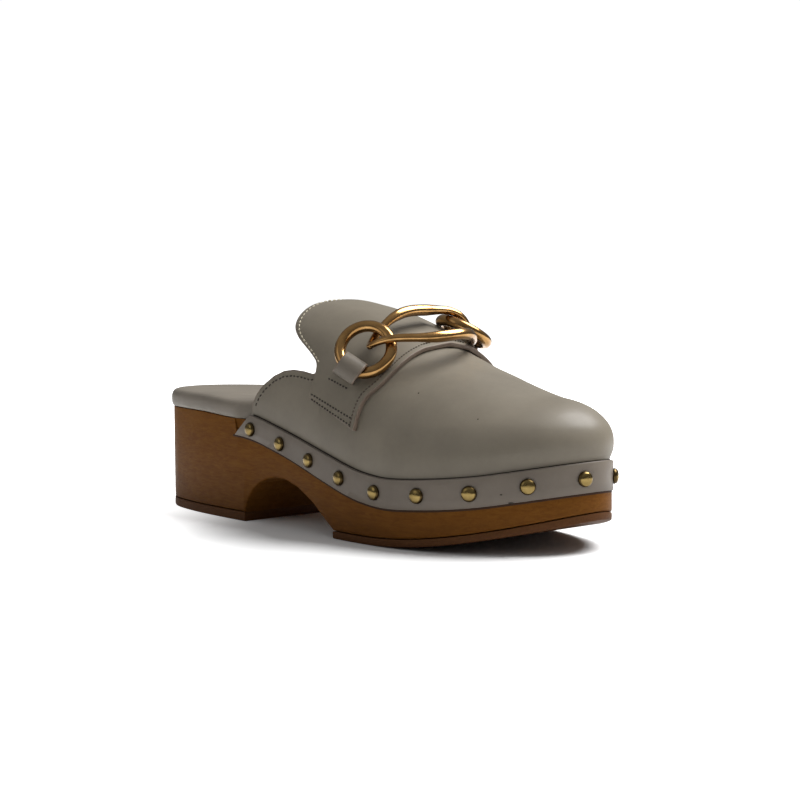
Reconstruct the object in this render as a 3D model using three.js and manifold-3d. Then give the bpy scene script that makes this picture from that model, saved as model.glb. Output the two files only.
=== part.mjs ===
import * as THREE from "three";
import { mergeVertices } from "three/addons/utils/BufferGeometryUtils.js";
import Module from "manifold-3d";

// A clog mule for the right foot: a carved wooden sole with a block heel, a rubber forefoot sole and
// heel tip, a padded insole, a closed-toe leather upper nailed round its edge through a leather rand,
// and a saddle that crosses the instep, rises behind it as a tongue, and carries two rings and a link.
// Millimetres. +X points to the toe, +Y to the big toe's side and +Z up. While the pieces are made,
// x starts at the heel's back and the floor is z = 0. The last lines centre the shoe on the origin.

const wasm = await Module();
wasm.setup();

// Sole
const soleLength = 250;
const ballWidth = 86;
const heelHeight = 46.5;
const ballHeight = 23.8;
const toeHeight = 32;
const heelTipThickness = 4;
const outsoleThickness = 3;
const outsoleRound = 0.5;
const archHeight = 21;
const breastPlace = 84;
const forefootStart = 150;
const springStart = 168;
const springRadius = 275;

// Upper, rand and insole
const instepHeight = 86;
const upperThickness = 1.8;
const randThickness = 1.4;
const randProud = 0.6;
const randAboveWood = 2.8;
const randBelowWood = 8.2;
const randRearBelowWood = 6.9;
const randNarrowEnd = 108;
const randFullStart = 160;
const randRearEnd = 78;
const randRearSlant = 11;
const collarStart = 90;
const ridgeBend = 185;
const ridgeEnd = 222;
const padThickness = 7;
const padForefootThickness = 4;
const padOverhang = 1;
const padEdgeRadius = 3;
const clearance = 0.3;

// Saddle, keepers, rings and link
const saddleThickness = 2;
const saddleLift = 0.9;
const ringRadius = 10.5;
const ringWire = 4.4;
const linkWidth = 26.8;
const linkWire = 3.3;
const linkBow = 10.5;
const keeperWidth = 9.5;
const keeperThickness = 1.4;
const keeperBuried = 5;

// Nails
const nailDiameter = 6;
const nailRise = 2.1;
const nailShank = 1.8;
const nailLength = 9;
const nailPitch = 21.9;
const firstNail = 90.3;
const nailBelowTop = 5.7;
const nailSides = 8;

// Plan of the sole, from the heel's back to the toe's tip. at is a share of soleLength, and lateral
// and medial are shares of half of ballWidth, out from the centre line.
const planRows = [
  { at: 0, lateral: 0, medial: 0 },
  { at: 0.01, lateral: 0.24, medial: 0.235 },
  { at: 0.03, lateral: 0.41, medial: 0.41 },
  { at: 0.06, lateral: 0.545, medial: 0.555 },
  { at: 0.1, lateral: 0.645, medial: 0.655 },
  { at: 0.18, lateral: 0.745, medial: 0.725 },
  { at: 0.28, lateral: 0.81, medial: 0.685 },
  { at: 0.38, lateral: 0.847, medial: 0.64 },
  { at: 0.48, lateral: 0.889, medial: 0.705 },
  { at: 0.58, lateral: 0.957, medial: 0.866 },
  { at: 0.672, lateral: 1, medial: 0.985 },
  { at: 0.76, lateral: 0.99, medial: 0.965 },
  { at: 0.848, lateral: 0.87, medial: 0.85 },
  { at: 0.924, lateral: 0.6, medial: 0.69 },
  { at: 0.98, lateral: 0.235, medial: 0.43 },
  { at: 1, lateral: -0.12, medial: 0.12 },
];

// Top edge of the wood: ballHeight, raised by these shares of the way to heelHeight and toeHeight.
const topRows = [
  { at: 0, toHeel: 1, toToe: 0 },
  { at: 0.19, toHeel: 0.98, toToe: 0 },
  { at: 0.28, toHeel: 0.925, toToe: 0 },
  { at: 0.34, toHeel: 0.885, toToe: 0 },
  { at: 0.38, toHeel: 0.82, toToe: 0 },
  { at: 0.43, toHeel: 0.695, toToe: 0 },
  { at: 0.48, toHeel: 0.565, toToe: 0 },
  { at: 0.53, toHeel: 0.433, toToe: 0 },
  { at: 0.58, toHeel: 0.3, toToe: 0 },
  { at: 0.63, toHeel: 0.163, toToe: 0 },
  { at: 0.675, toHeel: 0.06, toToe: 0 },
  { at: 0.73, toHeel: 0, toToe: 0 },
  { at: 0.8, toHeel: 0, toToe: 0.085 },
  { at: 0.88, toHeel: 0, toToe: 0.317 },
  { at: 0.94, toHeel: 0, toToe: 0.634 },
  { at: 1, toHeel: 0, toToe: 1 },
];

// The last's cross sections. height is the ridge's share of instepHeight, side its shift to the big
// toe's side as a share of half of ballWidth, fullness the exponent of the section's curve, and swell
// how far the wall bulges, as a share of half of ballWidth.
const sectionRows = [
  { at: 0.3, height: 1.04, side: 0.04, fullness: 2, swell: 0.045 },
  { at: 0.4, height: 1.062, side: 0.05, fullness: 2, swell: 0.045 },
  { at: 0.45, height: 1.07, side: 0.055, fullness: 2, swell: 0.045 },
  { at: 0.49, height: 1.064, side: 0.06, fullness: 2, swell: 0.045 },
  { at: 0.54, height: 1.038, side: 0.08, fullness: 2, swell: 0.045 },
  { at: 0.58, height: 1.003, side: 0.1, fullness: 2, swell: 0.045 },
  { at: 0.62, height: 0.955, side: 0.115, fullness: 2.05, swell: 0.045 },
  { at: 0.65, height: 0.91, side: 0.125, fullness: 2.08, swell: 0.045 },
  { at: 0.69, height: 0.856, side: 0.13, fullness: 2.1, swell: 0.045 },
  { at: 0.77, height: 0.77, side: 0.14, fullness: 2.15, swell: 0.045 },
  { at: 0.83, height: 0.722, side: 0.14, fullness: 2.2, swell: 0.055 },
  { at: 0.89, height: 0.657, side: 0.14, fullness: 2.35, swell: 0.075 },
];

// Underside of the wood between heel and forefoot: at is a share of the way from the breast to the
// forefoot, and rise a share of the way from the heel tip's top to archHeight.
const archRows = [
  { at: 0, rise: 0 },
  { at: 0.035, rise: 0.34 },
  { at: 0.09, rise: 0.58 },
  { at: 0.17, rise: 0.8 },
  { at: 0.26, rise: 0.935 },
  { at: 0.36, rise: 1 },
  { at: 0.47, rise: 0.975 },
  { at: 0.61, rise: 0.83 },
  { at: 0.78, rise: 0.525 },
];

// The upper's open edge in side view: up the quarter, over its crest, and up the throat under the
// saddle. at is a share of soleLength past collarStart, and height a share of instepHeight.
const collarRows = [
  { at: 0, height: 0 },
  { at: 0, height: 0.593 },
  { at: 0.012, height: 0.645 },
  { at: 0.028, height: 0.69 },
  { at: 0.052, height: 0.736 },
  { at: 0.076, height: 0.762 },
  { at: 0.1, height: 0.77 },
  { at: 0.128, height: 0.765 },
  { at: 0.152, height: 0.755 },
  { at: 0.172, height: 0.767 },
  { at: 0.192, height: 0.86 },
  { at: 0.204, height: 1.28 },
];

// The saddle in side view: the strap's rear edge, the tongue's flared edge to its top, then the strap's
// front edge from the crest down to its lower corner.
const saddleRows = [
  { at: 0.532, height: 0.655 },
  { at: 0.532, height: 0.75 },
  { at: 0.53, height: 0.81 },
  { at: 0.495, height: 0.872 },
  { at: 0.463, height: 0.919 },
  { at: 0.44, height: 0.966 },
  { at: 0.429, height: 1.009 },
  { at: 0.422, height: 1.052 },
  { at: 0.417, height: 1.093 },
  { at: 0.415, height: 1.28 },
  { at: 0.676, height: 1.28 },
  { at: 0.678, height: 0.87 },
  { at: 0.68, height: 0.793 },
  { at: 0.676, height: 0.733 },
  { at: 0.661, height: 0.68 },
  { at: 0.657, height: 0.641 },
  { at: 0.656, height: 0.586 },
  { at: 0.656, height: 0.522 },
];

const halfBall = ballWidth / 2;
const lastRow = planRows.length - 1;
const beyond = soleLength * 1.2;

const steps = (from, to, count) =>
  Array.from({ length: count + 1 }, (_, i) => from + ((to - from) * i) / count);

// A smooth curve through one column of a table, as a function of x.
function along(rows, column) {
  const xs = rows.map((row) => row.at * soleLength);
  const ys = rows.map((row) => row[column]);
  const slopes = xs.map((_, i) => {
    const before = Math.max(i - 1, 0);
    const after = Math.min(i + 1, xs.length - 1);
    return (ys[after] - ys[before]) / (xs[after] - xs[before]);
  });
  return (x) => {
    const held = THREE.MathUtils.clamp(x, xs[0], xs.at(-1));
    let i = 0;
    while (i < xs.length - 2 && held > xs[i + 1]) i += 1;
    const step = xs[i + 1] - xs[i];
    const t = (held - xs[i]) / step;
    const from = ys[i] * (2 * t ** 3 - 3 * t ** 2 + 1) + slopes[i] * step * (t ** 3 - 2 * t ** 2 + t);
    const to = ys[i + 1] * (3 * t ** 2 - 2 * t ** 3) + slopes[i + 1] * step * (t ** 3 - t ** 2);
    return from + to;
  };
}

const toHeel = along(topRows, "toHeel");
const toToe = along(topRows, "toToe");
const ridgeShare = along(sectionRows, "height");
const ridgeSide = along(sectionRows, "side");
const fullness = along(sectionRows, "fullness");
const swellShare = along(sectionRows, "swell");

const woodTop = (x) =>
  ballHeight + (heelHeight - ballHeight) * toHeel(x) + (toeHeight - ballHeight) * toToe(x);
const ridgeHeight = (x) => instepHeight * ridgeShare(x);
const randHead = (x) => woodTop(x) + randAboveWood;

function randFoot(x) {
  const toFull = THREE.MathUtils.smoothstep(x, randNarrowEnd, randFullStart);
  return woodTop(x) - THREE.MathUtils.lerp(randRearBelowWood, randBelowWood, toFull);
}

// The plan as one closed curve. q counts rows from the toe's tip, and is negative on the little toe's
// side, so that -lastRow and lastRow are both the heel's back.
function rowPoint(index) {
  const turns = 2 * lastRow;
  const wrapped = ((((index + lastRow) % turns) + turns) % turns) - lastRow;
  const row = planRows[lastRow - Math.abs(wrapped)];
  const y = wrapped < 0 ? -row.lateral : row.medial;
  return new THREE.Vector2(row.at * soleLength, y * halfBall);
}

function planPoint(q) {
  const i = Math.floor(q);
  const [a, b, c, d] = [-1, 0, 1, 2].map((k) => rowPoint(i + k));
  const curve = new THREE.SplineCurve([a, b, c, d]);
  return curve.getPoint((1 + q - i) / 3);
}

// Outward direction of the plan's edge.
function planNormal(q) {
  const small = 0.01;
  const tangent = planPoint(q + small).sub(planPoint(q - small)).normalize();
  return new THREE.Vector2(tangent.y, -tangent.x);
}

const insetPoint = (q, inset) => planPoint(q).addScaledVector(planNormal(q), -inset);

// The q at which one side of the plan passes x.
function rowAt(x, side) {
  let [near, away] = [0, lastRow];
  while (away - near > 1e-9) {
    const middle = (near + away) / 2;
    if (planPoint(side * middle).x > x) near = middle;
    else away = middle;
  }
  return side * near;
}

// Solids from triangles
function toManifold(geometry) {
  const bare = geometry.clone();
  for (const name of Object.keys(bare.attributes)) if (name !== "position") bare.deleteAttribute(name);
  const merged = mergeVertices(bare, 1e-4);
  const index = merged.index.array;
  const kept = [];
  for (let i = 0; i < index.length; i += 3) {
    const [a, b, c] = index.slice(i, i + 3);
    if (a !== b && b !== c && c !== a) kept.push(a, b, c);
  }
  return new wasm.Manifold(
    new wasm.Mesh({
      numProp: 3,
      vertProperties: new Float32Array(merged.attributes.position.array),
      triVerts: new Uint32Array(kept),
    }),
  );
}

function toGeometry(manifold) {
  const mesh = manifold.getMesh();
  const geometry = new THREE.BufferGeometry();
  geometry.setAttribute("position", new THREE.BufferAttribute(new Float32Array(mesh.vertProperties), 3));
  geometry.setIndex(new THREE.BufferAttribute(new Uint32Array(mesh.triVerts), 1));
  geometry.computeVertexNormals();
  return geometry;
}

function solidOf(points, faces) {
  const position = faces.flatMap((face) => face.flatMap((index) => points[index]));
  const geometry = new THREE.BufferGeometry();
  geometry.setAttribute("position", new THREE.Float32BufferAttribute(position, 3));
  return toManifold(geometry);
}

// Side faces between equal closed rings of points.
function ringFaces(ringCount, count, closed = false) {
  const faces = [];
  for (let r = 0; r < ringCount - (closed ? 0 : 1); r += 1)
    for (let i = 0; i < count; i += 1) {
      const [here, next] = [r * count, ((r + 1) % ringCount) * count];
      const j = (i + 1) % count;
      faces.push([here + i, here + j, next + j], [here + i, next + j, next + i]);
    }
  return faces;
}

// A solid stacked from plan outlines, capped by strips across the shoe.
function stack(rings) {
  const count = rings[0].length;
  const faces = ringFaces(rings.length, count);
  const top = (rings.length - 1) * count;
  for (let i = 0; i < count / 2; i += 1) {
    const [a, b, c, d] = [i, i + 1, (2 * count - i - 1) % count, (count - i) % count];
    faces.push([a, c, b], [a, d, c], [top + a, top + b, top + c], [top + a, top + c, top + d]);
  }
  return solidOf(rings.flat(), faces);
}

// One plan outline, set in by an amount and raised to a height that both follow x.
const stepsPerRow = 3;
function outline(insetAt, heightAt) {
  return steps(-lastRow, lastRow, 2 * lastRow * stepsPerRow)
    .slice(0, -1)
    .map((q) => {
      const x = planPoint(q).x;
      const p = insetPoint(q, insetAt(x));
      return [p.x, p.y, heightAt(x)];
    });
}

const level = (inset, height) => outline(() => inset, () => height);

// A side view in x and z, run across the whole shoe.
function across(points) {
  const shape = new THREE.Shape(points.map(([x, z]) => new THREE.Vector2(x, z)));
  const geometry = new THREE.ExtrudeGeometry(shape, { depth: 2 * ballWidth, bevelEnabled: false });
  geometry.rotateX(Math.PI / 2).translate(0, ballWidth, 0);
  return toManifold(geometry);
}

const sideView = (rows, start = 0) =>
  rows.map((row) => [start + row.at * soleLength, row.height * instepHeight]);

// All that lies in front of x.
const inFrontOf = (x) => across([[x, -beyond], [beyond, -beyond], [beyond, beyond], [x, beyond]]);

// Sole
const springHeight = (x) =>
  x < springStart ? 0 : springRadius - Math.sqrt(springRadius ** 2 - (x - springStart) ** 2);
const frontSteps = 18;
const pastToe = soleLength * 1.03;

function woodSole() {
  const block = stack([level(0, heelTipThickness + clearance), outline(() => 0, woodTop)]);
  const arch = archRows.map(({ at, rise }) => [
    THREE.MathUtils.lerp(breastPlace, forefootStart, at),
    THREE.MathUtils.lerp(heelTipThickness, archHeight, rise),
  ]);
  const front = steps(forefootStart, pastToe, frontSteps).map((x) => [
    x,
    outsoleThickness + springHeight(x) + clearance,
  ]);
  const under = [...arch, ...front, [pastToe, -beyond], [breastPlace, -beyond]];
  return block.subtract(across(under.reverse())).subtract(rebate());
}

function outsole() {
  const edge = (inset, rise) => outline(() => inset, (x) => springHeight(x) + rise);
  const layers = [edge(outsoleRound, 0), edge(0, outsoleRound), edge(0, outsoleThickness)];
  return stack(layers).intersect(inFrontOf(forefootStart));
}

function heelTip() {
  return stack([level(0, 0), level(0, heelTipThickness)]).subtract(inFrontOf(breastPlace));
}

// Rand, and the step that it and the upper need in the wood's edge
const randInset = randThickness - randProud;
const upperInset = randInset + clearance;
const rebateInset = upperInset + upperThickness + clearance;

function wall(outerInset, innerInset) {
  const outer = stack([level(outerInset, 0), level(outerInset, beyond)]);
  return outer.subtract(stack([level(innerInset, -clearance), level(innerInset, beyond + clearance)]));
}

function randSide(margin) {
  const rear = randRearEnd - 2 * margin;
  const foot = steps(rear, pastToe, 2 * frontSteps);
  const head = steps(rear + randRearSlant, pastToe, 2 * frontSteps);
  return across([
    ...foot.map((x) => [x, randFoot(x) - margin]),
    ...head.reverse().map((x) => [x, randHead(x) + margin]),
  ]);
}

function rebate() {
  const forRand = wall(-ballWidth / 4, randInset + clearance);
  const forUpper = wall(-ballWidth / 4, rebateInset).intersect(inFrontOf(collarStart - clearance));
  return forRand.add(forUpper).intersect(randSide(clearance));
}

function rand() {
  return wall(-randProud, randInset).intersect(randSide(0)).subtract(nailHoles());
}

// The last. u runs up a section from the rand, 0, to the ridge, 1. Past ridgeBend the sections turn
// to meet the toe, and their tops gather on the ridge before ridgeEnd.
function ridgeAt(q) {
  const x = Math.min(planPoint(q).x, soleLength);
  if (x <= ridgeBend) return x;
  const left = (soleLength - x) / (soleLength - ridgeBend);
  const pace = (soleLength - ridgeBend) / (ridgeEnd - ridgeBend);
  return THREE.MathUtils.lerp(ridgeEnd, ridgeBend, left ** pace);
}

function lastPoint(q, u) {
  const foot = insetPoint(q, upperInset);
  const normal = planNormal(q);
  const ridge = ridgeAt(q);
  const angle = (u * Math.PI) / 2;
  const power = 2 / fullness(ridge);
  const inward = 1 - Math.cos(angle) ** power;
  const swell = swellShare(ridge) * halfBall * Math.sin(2 * angle) * Math.cos(angle);
  const x = THREE.MathUtils.lerp(foot.x, ridge, inward) + normal.x * swell;
  const y = THREE.MathUtils.lerp(foot.y, ridgeSide(ridge) * halfBall, inward) + normal.y * swell;
  const base = randHead(planPoint(q).x);
  return new THREE.Vector3(x, y, THREE.MathUtils.lerp(base, ridgeHeight(x), Math.sin(angle) ** power));
}

function lastNormal(q, u) {
  const small = 0.004;
  const low = THREE.MathUtils.clamp(u, 0.02, 0.985);
  const forward = lastPoint(q + small, low).sub(lastPoint(q - small, low));
  const upward = lastPoint(q, low + small).sub(lastPoint(q, low - small));
  const side = forward.cross(upward).normalize();
  if (u < 1) return side;
  const x = ridgeAt(q);
  return new THREE.Vector3(ridgeHeight(x - 1) - ridgeHeight(x + 1), 0, 2).normalize();
}

// The last as a closed solid in front of rear, grown by offset and further by lift at its ridge. Below
// u = 0 its wall runs straight down to a depth below the line that foot gives.
const formRear = 76;
const formSteps = 12;
function form({ offset, lift = 0, foot = randHead, below = 0, rear = formRear }) {
  const end = rowAt(rear, 1);
  const stations = steps(lastRow, 0, lastRow * stepsPerRow).filter((q) => q < end);
  const sections = [end, ...stations].map((q) => {
    const half = (side) => {
      const at = insetPoint(side * q, upperInset - offset);
      const { x } = planPoint(side * q);
      const risen = steps(0, 1, formSteps).slice(1).map((u) => {
        const grown = offset + lift * Math.sin((u * Math.PI) / 2) ** 4;
        return lastPoint(side * q, u).addScaledVector(lastNormal(side * q, u), grown).toArray();
      });
      return [[at.x, at.y, foot(x) - below], [at.x, at.y, randHead(x)], ...risen];
    };
    return [...half(-1), ...half(1).slice(0, -1).reverse()];
  });
  const count = sections[0].length;
  const faces = ringFaces(sections.length, count).map(([a, b, c]) => [a, c, b]);
  for (let i = 1; i + 1 < count; i += 1) faces.push([0, i, i + 1]);
  return solidOf(sections.flat(), faces);
}

function upper() {
  const rear = formRear - clearance;
  const inside = form({ offset: -upperThickness, foot: randFoot, below: upperThickness, rear });
  const shell = form({ offset: 0, foot: randFoot }).subtract(inside);
  const edge = sideView(collarRows, collarStart);
  const mouth = across([...edge, [-beyond, edge.at(-1)[1]], [-beyond, 0]]);
  return shell.subtract(mouth).subtract(nailHoles());
}

function insole() {
  const inUpper = (x) => THREE.MathUtils.smoothstep(x, randRearEnd, collarStart - 4);
  const inset = (x) => THREE.MathUtils.lerp(-padOverhang, rebateInset + clearance, inUpper(x));
  const toBall = (x) => THREE.MathUtils.smoothstep(x, collarStart, springStart);
  const thickness = (x) => THREE.MathUtils.lerp(padThickness, padForefootThickness, toBall(x));
  const edge = (share, inward) =>
    outline((x) => inset(x) + inward, (x) => woodTop(x) + clearance + thickness(x) * share);
  return stack([
    edge(0, padEdgeRadius * 0.2),
    edge(0.15, 0),
    edge(0.6, 0),
    edge(0.87, padEdgeRadius * 0.3),
    edge(1, padEdgeRadius),
  ]);
}

// Saddle: a shell outside the last, cut to its side view
const saddleOutside = { offset: clearance + saddleThickness, lift: saddleLift };
const saddleRoom = { offset: 2 * clearance + saddleThickness, lift: saddleLift };

function saddle() {
  const rear = formRear - clearance;
  const inside = form({ offset: clearance, lift: saddleLift, below: saddleThickness, rear });
  return form(saddleOutside).subtract(inside).intersect(across(sideView(saddleRows)));
}

// A spot given as shares of soleLength, halfBall and instepHeight
const spot = ([at, side, height]) =>
  new THREE.Vector3(at * soleLength, side * halfBall, height * instepHeight);

// Rings: the centre's spot, the way that each ring faces, the way from its centre to its keeper, and the
// spot on the saddle that the keeper comes from
const ringPlaces = {
  lateral: {
    centre: [0.6367, -0.7303, 0.8850],
    faces: [0.516, -0.707, 0.484],
    keeper: [-0.2, -0.655, -0.73],
    slot: [0.5980, -0.7581, 0.7779],
  },
  medial: {
    centre: [0.6326, 0.5693, 0.9529],
    faces: [0.145, 0.457, 0.878],
    keeper: [-0.6, 0.7, -0.27],
    slot: [0.6040, 0.7302, 0.8140],
  },
};

function ring(place) {
  const geometry = new THREE.TorusGeometry(ringRadius, ringWire / 2, 6, 18);
  const turn = new THREE.Quaternion().setFromUnitVectors(
    new THREE.Vector3(0, 0, 1),
    new THREE.Vector3(...place.faces).normalize(),
  );
  return toManifold(geometry.applyQuaternion(turn).translate(...spot(place.centre)));
}

// Keeper: a leather strap folded over a ring's wire, with both ends down to the saddle, where they meet.
// Its bore runs along the wire, with room for the wire's curve over keeperWidth.
function keeper(place) {
  const facing = new THREE.Vector3(...place.faces).normalize();
  const out = new THREE.Vector3(...place.keeper).projectOnPlane(facing).normalize();
  const sag = ringRadius - Math.sqrt(ringRadius ** 2 - (keeperWidth / 2) ** 2);
  const wire = spot(place.centre).addScaledVector(out, ringRadius - 0.8 * sag);
  const back = wire.clone().sub(spot(place.slot));
  const leg = back.length() + keeperBuried;
  back.normalize();
  const along = facing.clone().cross(out);
  const over = back.clone().cross(along).normalize();
  const inner = ringWire / 2 + 2 * clearance + sag / 2;
  const outer = inner + keeperThickness;
  const shape = new THREE.Shape();
  const [close, far] = [clearance / 2, clearance / 2 + keeperThickness];
  shape.moveTo(-far, -leg).lineTo(-close, -leg).lineTo(-inner, 0);
  shape.absarc(0, 0, inner, Math.PI, 0, true);
  shape.lineTo(close, -leg).lineTo(far, -leg).lineTo(outer, 0);
  shape.absarc(0, 0, outer, 0, Math.PI, false);
  const geometry = new THREE.ExtrudeGeometry(shape, { depth: keeperWidth, bevelEnabled: false, curveSegments: 4 });
  geometry.translate(0, 0, -keeperWidth / 2);
  const frame = new THREE.Matrix4().makeBasis(over, back, along).setPosition(wire);
  const strap = toManifold(geometry.applyMatrix4(frame)).subtract(form(saddleRoom));
  return strap.decompose().reduce((most, piece) => (piece.volume() > most.volume() ? piece : most));
}

// Link: a closed loop between two tips, bowed over the instep, that tilts to the toe by linkTilt along
// its middle and by its own tilt at each tip. Angles in degrees.
const linkTips = {
  near: { spot: [0.6457, -0.7154, 0.9022], tilt: -23.4 },
  far: { spot: [0.6459, 0.5669, 0.9536], tilt: 88.5 },
};
const linkTilt = 20.4;
const linkLean = 50.1;
const linkPinch = 1.254;
const linkTaper = 0.28;

function linkPoint(turn) {
  const [near, far] = [spot(linkTips.near.spot), spot(linkTips.far.spot)];
  const half = near.distanceTo(far) / 2;
  const axis = far.clone().sub(near).normalize();
  const [lengthwise, broad] = [Math.cos(turn), Math.sin(turn)];
  const tip = lengthwise < 0 ? linkTips.near : linkTips.far;
  const tilt = THREE.MathUtils.degToRad(
    THREE.MathUtils.lerp(linkTilt, tip.tilt, Math.abs(lengthwise) ** 3),
  );
  const lean = THREE.MathUtils.degToRad(linkLean);
  const forward = (Math.sign(broad) * Math.abs(broad) ** linkPinch * linkWidth) / 2;
  const front = new THREE.Vector3(Math.cos(tilt), 0, -Math.sin(tilt)).projectOnPlane(axis).normalize();
  const up = new THREE.Vector3(Math.sin(lean), 0, Math.cos(lean)).projectOnPlane(axis).normalize();
  return near
    .add(far)
    .multiplyScalar(0.5)
    .addScaledVector(axis, lengthwise * half)
    .addScaledVector(front, forward)
    .addScaledVector(up, linkBow * (1 - lengthwise ** 2));
}

function link() {
  const stations = 30;
  const sides = 6;
  const small = 0.01;
  const points = [];
  for (const turn of steps(0, 2 * Math.PI, stations).slice(0, -1)) {
    const centre = linkPoint(turn);
    const ahead = linkPoint(turn + small).sub(linkPoint(turn - small)).normalize();
    const across = new THREE.Vector3(Math.sin(1), 0, Math.cos(1)).cross(ahead).normalize();
    const over = ahead.clone().cross(across);
    const radius = (linkWire / 2) * (1 - linkTaper * Math.abs(Math.cos(turn)) ** 6);
    for (const angle of steps(0, 2 * Math.PI, sides).slice(0, -1)) {
      const p = centre.clone();
      p.addScaledVector(across, Math.cos(angle) * radius);
      p.addScaledVector(over, Math.sin(angle) * radius);
      points.push(p.toArray());
    }
  }
  return solidOf(points, ringFaces(stations, sides, true));
}

// Nails: one each nailPitch along the plan's edge, from the lateral rear round the toe
function nailPlaces() {
  const places = [];
  const end = rowAt(firstNail, 1);
  const small = 0.005;
  let walked = nailPitch;
  for (let q = rowAt(firstNail, -1); q < end; q += small) {
    if (walked >= nailPitch) {
      places.push(q);
      walked -= nailPitch;
    }
    walked += planPoint(q + small).distanceTo(planPoint(q));
  }
  return places;
}

function nailFrame(q) {
  const normal = planNormal(q);
  const at = insetPoint(q, -randProud - clearance);
  const height = woodTop(planPoint(q).x) + randAboveWood - nailBelowTop;
  const turn = new THREE.Quaternion().setFromUnitVectors(
    new THREE.Vector3(0, 1, 0),
    new THREE.Vector3(normal.x, normal.y, 0),
  );
  return new THREE.Matrix4().compose(new THREE.Vector3(at.x, at.y, height), turn, new THREE.Vector3(1, 1, 1));
}

function nail(q) {
  const half = nailDiameter / 2;
  const profile = [
    [0, -nailLength],
    [nailShank / 2, -nailLength + nailShank],
    [nailShank / 2, 0],
    [half, 0],
    [half * 0.93, nailRise * 0.42],
    [half * 0.62, nailRise * 0.83],
    [0, nailRise],
  ];
  const geometry = new THREE.LatheGeometry(profile.map(([r, y]) => new THREE.Vector2(r, y)), nailSides);
  return toManifold(geometry.applyMatrix4(nailFrame(q)));
}

function nailHoles() {
  const holes = nailPlaces().map((q) => {
    const depth = nailLength + 2 * clearance;
    const radius = nailShank / 2 + clearance;
    const geometry = new THREE.CylinderGeometry(radius, radius, depth, nailSides);
    return toManifold(geometry.translate(0, clearance - depth / 2, 0).applyMatrix4(nailFrame(q)));
  });
  return holes.reduce((all, hole) => all.add(hole));
}

const shoe = new THREE.Group();

function addPiece(name, solid, color, roughness, metalness = 0) {
  const material = new THREE.MeshStandardMaterial({ color, roughness, metalness });
  const mesh = new THREE.Mesh(toGeometry(solid), material);
  mesh.name = name;
  shoe.add(mesh);
}

const taupe = 0x9c9284;
const walnut = 0x8a5a28;
const brown = 0x6e4522;
const brass = 0xa88a3c;
const bronze = 0xa8742e;

addPiece("wood_sole", woodSole().subtract(nailHoles()), walnut, 0.55);
addPiece("outsole", outsole(), brown, 0.8);
addPiece("heel_tip", heelTip(), brown, 0.8);
addPiece("insole", insole(), taupe, 0.5);
addPiece("upper", upper(), taupe, 0.42);
addPiece("rand", rand(), taupe, 0.42);
addPiece("saddle", saddle(), taupe, 0.42);
for (const [side, place] of Object.entries(ringPlaces)) {
  addPiece(`ring_${side}`, ring(place), bronze, 0.3, 1);
  addPiece(`keeper_${side}`, keeper(place), taupe, 0.42);
}
addPiece("link", link(), bronze, 0.3, 1);
nailPlaces().forEach((q, i) => addPiece(`nail_${String(i + 1).padStart(2, "0")}`, nail(q), brass, 0.3, 1));

const middle = new THREE.Box3().setFromObject(shoe).getCenter(new THREE.Vector3());
shoe.position.set(-middle.x, -middle.y, 0);

export default shoe;
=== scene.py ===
import bpy
import numpy as np
from mathutils import Matrix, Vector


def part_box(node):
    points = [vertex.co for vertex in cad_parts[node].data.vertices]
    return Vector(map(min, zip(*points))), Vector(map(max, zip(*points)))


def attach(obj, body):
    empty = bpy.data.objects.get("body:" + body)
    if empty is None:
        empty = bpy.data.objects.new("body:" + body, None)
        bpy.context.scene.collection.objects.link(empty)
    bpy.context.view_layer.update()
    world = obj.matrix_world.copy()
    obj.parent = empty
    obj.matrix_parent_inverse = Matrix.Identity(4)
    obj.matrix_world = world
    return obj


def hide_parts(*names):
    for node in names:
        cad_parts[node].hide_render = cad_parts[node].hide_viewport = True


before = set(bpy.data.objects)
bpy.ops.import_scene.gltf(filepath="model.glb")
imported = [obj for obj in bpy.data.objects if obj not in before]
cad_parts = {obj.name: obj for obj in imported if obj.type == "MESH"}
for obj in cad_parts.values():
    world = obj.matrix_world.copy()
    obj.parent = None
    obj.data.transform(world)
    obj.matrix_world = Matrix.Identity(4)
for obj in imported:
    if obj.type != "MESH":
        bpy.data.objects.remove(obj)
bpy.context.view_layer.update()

# Sizes in millimetres. x starts at the heel's back, +Y is the big toe's side and the floor is z = 0.
SOLE_LENGTH = 250
HALF_BALL = 43
HEEL_HEIGHT = 46.5
BALL_HEIGHT = 23.8
TOE_HEIGHT = 32
HEEL_TIP = 4
OUTSOLE = 3
ARCH_HEIGHT = 21
BREAST = 84
FOREFOOT = 150
SPRING_START = 168
SPRING_RADIUS = 275
INSTEP_HEIGHT = 86
UPPER_THICKNESS = 1.8
RAND_THICKNESS = 1.4
RAND_PROUD = 0.6
RAND_ABOVE = 2.8
RAND_BELOW = 8.2
RAND_REAR_BELOW = 6.9
RAND_NARROW_END = 108
RAND_FULL_START = 160
RAND_REAR = 78
RAND_SLANT = 11
COLLAR_START = 90
RIDGE_BEND = 185
RIDGE_END = 222
PAD_THICKNESS = 7
PAD_FOREFOOT = 4
PAD_OVERHANG = 1
CLEARANCE = 0.3
SADDLE_THICKNESS = 2
SADDLE_LIFT = 0.9
NAIL_RADIUS = 3.1
NAIL_RISE = 2.1
NAIL_PITCH = 21.9
FIRST_NAIL = 90.3
NAIL_BELOW = 5.7
RAND_INSET = RAND_THICKNESS - RAND_PROUD
UPPER_INSET = RAND_INSET + CLEARANCE
RING_RADIUS = 10.5
RING_WIRE = 4.4
LINK_WIDTH = 26.8
LINK_WIRE = 3.3
LINK_BOW = 10.5
KEEPER_WIDTH = 9.5
KEEPER_THICKNESS = 1.4
REBATE_INSET = UPPER_INSET + UPPER_THICKNESS + CLEARANCE
SADDLE_OUTSIDE = CLEARANCE + SADDLE_THICKNESS

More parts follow.
